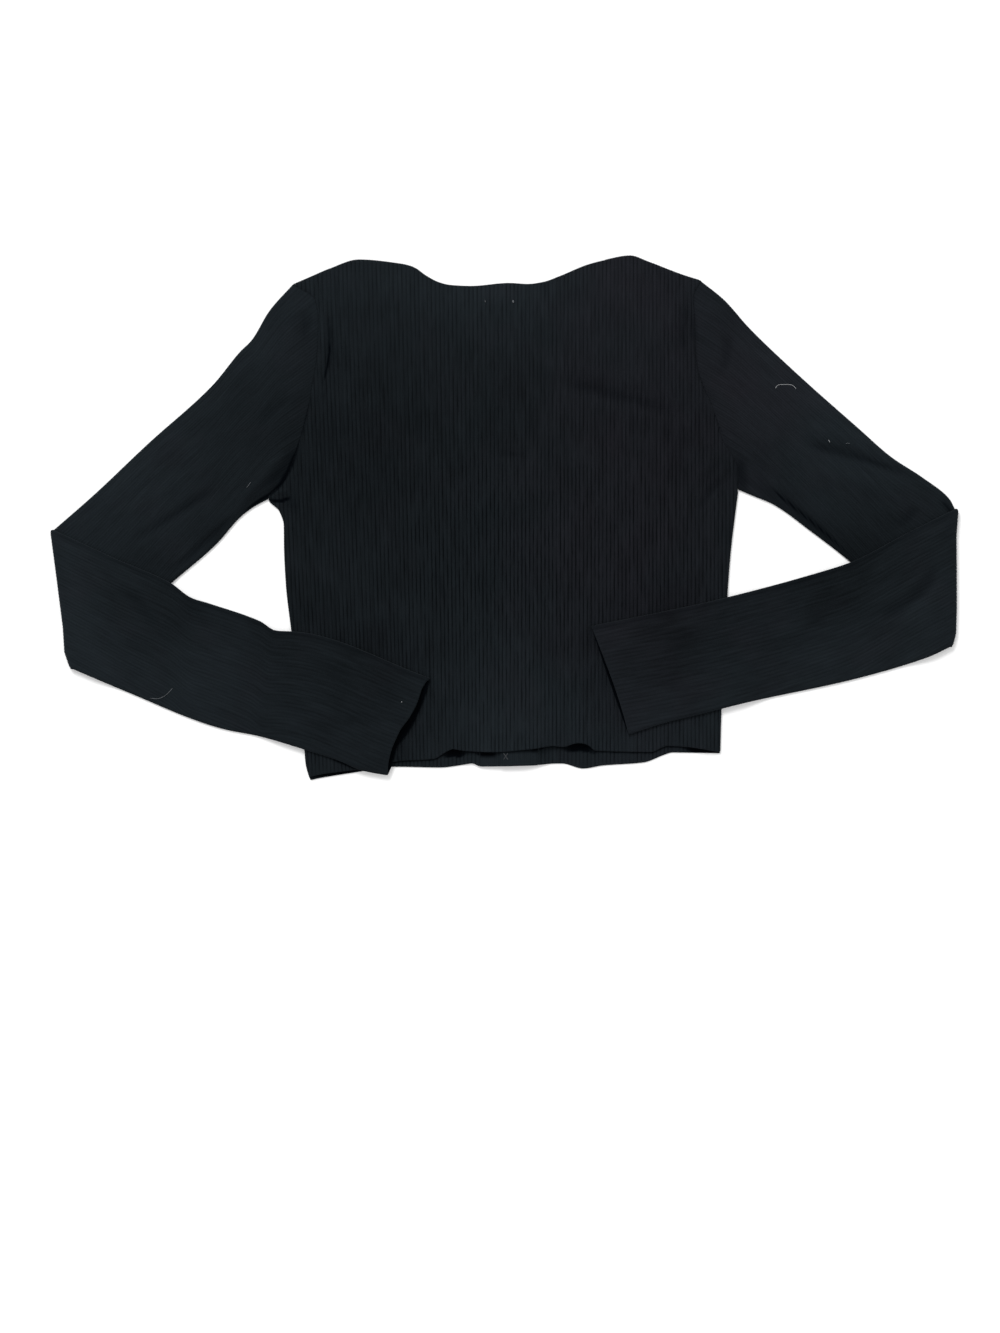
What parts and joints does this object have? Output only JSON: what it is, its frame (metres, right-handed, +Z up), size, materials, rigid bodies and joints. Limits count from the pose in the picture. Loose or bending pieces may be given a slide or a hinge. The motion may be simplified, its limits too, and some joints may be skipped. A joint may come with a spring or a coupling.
{
  "type": "cropped cardigan",
  "caption": "Cropped long-sleeved rib-knit cardigan lying face down, sleeves folded back over its lower back, buttoned front underneath.",
  "frame": {"origin": "on the surface it lies on, below the middle of the garment's bounding box", "axes": "+X to the wearer's right sleeve, which is the right of the picture, +Y to the neck, +Z up, out of the back of the garment, which lies face down"},
  "size_m": [0.727, 0.4192, 0.0078],
  "materials": {
    "knit": "fine rib knit, near black, matt",
    "band": "smooth close knit, near black, matt",
    "buttons": "moulded, near black, half gloss"
  },
  "bodies": {
    "root": {"back": "knit", "front_left": "knit", "front_right": "knit", "sleeve_left": "knit", "sleeve_right": "knit", "band_left": "band", "band_right": "band", "button_1": "buttons", "button_2": "buttons", "button_3": "buttons", "button_4": "buttons", "button_5": "buttons", "button_6": "buttons"}
  },
  "joints": []
}
